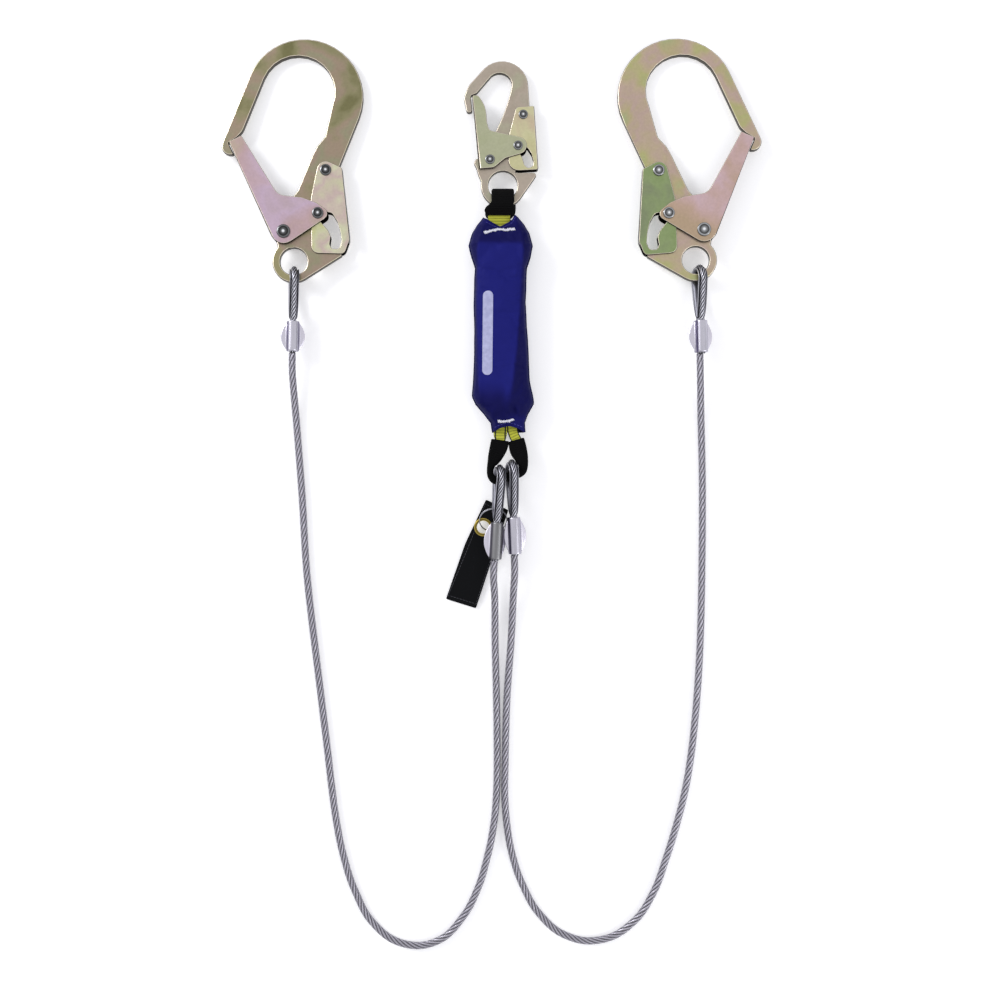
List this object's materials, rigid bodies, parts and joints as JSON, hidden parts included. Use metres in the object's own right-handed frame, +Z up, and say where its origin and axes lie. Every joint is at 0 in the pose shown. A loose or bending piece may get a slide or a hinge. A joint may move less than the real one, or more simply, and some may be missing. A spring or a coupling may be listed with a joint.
{
  "type": "twin steel cable shock absorber",
  "caption": "Energy absorbing lanyard: a fabric covered tear pack with a snap hook, and coated steel cable legs that each end in a large scaffold hook.",
  "frame": {"origin": "centre of the underside of the fabric cover, where the pack lies on the floor", "axes": "+Y along the pack towards the snap hook, +Z up from the floor, +X towards the right-hand hook"},
  "size_m": [0.5391, 0.9142, 0.0315],
  "materials": {
    "zinc": "yellow passivated zinc plate, olive to pink, satin",
    "rivet": "smooth domed steel rivet heads",
    "spring": "drawn spring wire",
    "cable": "bare galvanised stranded rope",
    "coated": "clear coat over stranded galvanised rope",
    "thimble": "galvanised, dull grey",
    "ferrule": "pressed sleeve, bright with drawn scratches",
    "cover": "blue woven polyester, slight sheen",
    "webbing": "yellow woven polyester with black edge threads",
    "sleeve": "black woven tube and label cloth",
    "thread": "thick white sewing thread",
    "brass": "rolled brass, lightly worn"
  },
  "bodies": {
    "absorber_pack": {"cover": "cover", "tear_webbing": "webbing", "upper_webbing": "webbing", "upper_sleeve": "sleeve", "lower_webbing": "webbing", "lower_sleeve": "sleeve", "upper_bartack": "thread", "lower_bartack": "thread"},
    "snap_hook": {"snap_frame": "zinc", "snap_gate_rivet": "rivet", "snap_lock_rivet": "rivet", "snap_lock_spring": "spring"},
    "snap_gate": {"snap_gate": "zinc", "snap_tail_pin": "rivet", "snap_gate_spring": "spring"},
    "snap_lock": {"snap_lock": "zinc"},
    "left_leg": {"left_pack_eye": "cable", "left_pack_thimble": "thimble", "left_pack_ferrule": "ferrule", "left_hook_eye": "cable", "left_hook_thimble": "thimble", "left_hook_ferrule": "ferrule", "left_cable": "coated", "split_ring": "spring"},
    "left_hook": {"left_frame": "zinc", "left_gate_rivet": "rivet", "left_lock_rivet": "rivet", "left_lock_spring": "spring"},
    "left_gate": {"left_gate": "zinc", "left_tail_pin": "rivet", "left_gate_spring": "spring"},
    "left_lock": {"left_lock": "zinc"},
    "right_leg": {"right_pack_eye": "cable", "right_pack_thimble": "thimble", "right_pack_ferrule": "ferrule", "right_hook_eye": "cable", "right_hook_thimble": "thimble", "right_hook_ferrule": "ferrule", "right_cable": "coated"},
    "right_hook": {"right_frame": "zinc", "right_gate_rivet": "rivet", "right_lock_rivet": "rivet", "right_lock_spring": "spring"},
    "right_gate": {"right_gate": "zinc", "right_tail_pin": "rivet", "right_gate_spring": "spring"},
    "right_lock": {"right_lock": "zinc"},
    "tag": {"tag": "sleeve", "grommet": "brass"}
  },
  "joints": [
    {"name": "snap_swing", "type": "hinge", "parent": "absorber_pack", "child": "snap_hook", "pos_m": [0.0028, 0.11842, 0.0112], "axis": [1, 0, 0], "range_deg": [0, 85]},
    {"name": "left_leg_swing", "type": "hinge", "parent": "absorber_pack", "child": "left_leg", "pos_m": [-0.0008, -0.1488, 0.0172], "axis": [0, 0, 1], "range_deg": [-10, 0]},
    {"name": "left_hook_swing", "type": "hinge", "parent": "left_leg", "child": "left_hook", "pos_m": [-0.2054, 0.0604, 0.0134], "axis": [0.0167, 0.0425, 0.999], "range_deg": [-8, 60]},
    {"name": "right_leg_swing", "type": "hinge", "parent": "absorber_pack", "child": "right_leg", "pos_m": [0.0118, -0.1437, 0.0172], "axis": [0, 0, 1], "range_deg": [0, 10]},
    {"name": "right_hook_swing", "type": "hinge", "parent": "right_leg", "child": "right_hook", "pos_m": [0.1948, 0.0618, 0.0134], "axis": [0.0189, -0.0416, -0.999], "range_deg": [-15, 60]},
    {"name": "snap_gate_turn", "type": "hinge", "parent": "snap_hook", "child": "snap_gate", "pos_m": [-0.0099, 0.16208, 0.00928], "axis": [0, 0.044, 0.999], "range_deg": [-30, 0], "stiffness_Nm_per_rad": 0.12, "springref_deg": 22.92},
    {"name": "snap_lock_turn", "type": "hinge", "parent": "snap_hook", "child": "snap_lock", "pos_m": [0.0233, 0.20793, 0.00727], "axis": [0, 0.044, 0.999], "range_deg": [-8.4, 0], "stiffness_Nm_per_rad": 0.08, "springref_deg": 17.19},
    {"name": "left_gate_turn", "type": "hinge", "parent": "left_hook", "child": "left_gate", "pos_m": [-0.21505, 0.08965, 0.01232], "axis": [0.0167, 0.0425, 0.999], "range_deg": [-36, 0], "stiffness_Nm_per_rad": 0.25, "springref_deg": 22.92},
    {"name": "left_lock_turn", "type": "hinge", "parent": "left_hook", "child": "left_lock", "pos_m": [-0.17387, 0.15191, 0.00898], "axis": [0.0167, 0.0425, 0.999], "range_deg": [-12.05, 0], "stiffness_Nm_per_rad": 0.15, "springref_deg": 17.19},
    {"name": "right_gate_turn", "type": "hinge", "parent": "right_hook", "child": "right_gate", "pos_m": [0.20291, 0.09151, 0.01232], "axis": [0.0189, -0.0416, -0.999], "range_deg": [-36, 0], "stiffness_Nm_per_rad": 0.25, "springref_deg": 22.92},
    {"name": "right_lock_turn", "type": "hinge", "parent": "right_hook", "child": "right_lock", "pos_m": [0.15852, 0.15153, 0.00898], "axis": [0.0189, -0.0416, -0.999], "range_deg": [-12.05, 0], "stiffness_Nm_per_rad": 0.15, "springref_deg": 17.19},
    {"name": "tag_swing", "type": "hinge", "parent": "left_leg", "child": "tag", "pos_m": [-0.0168, -0.2042, 0.0054], "axis": [-0.0176, -0.0437, 0.9989], "range_deg": [-5, 8]}
  ],
  "couplings": [
    {"joint": "snap_lock_turn", "follows": "snap_gate_turn", "ratio": 0.2778},
    {"joint": "left_lock_turn", "follows": "left_gate_turn", "ratio": 0.3333},
    {"joint": "right_lock_turn", "follows": "right_gate_turn", "ratio": 0.3333}
  ]
}
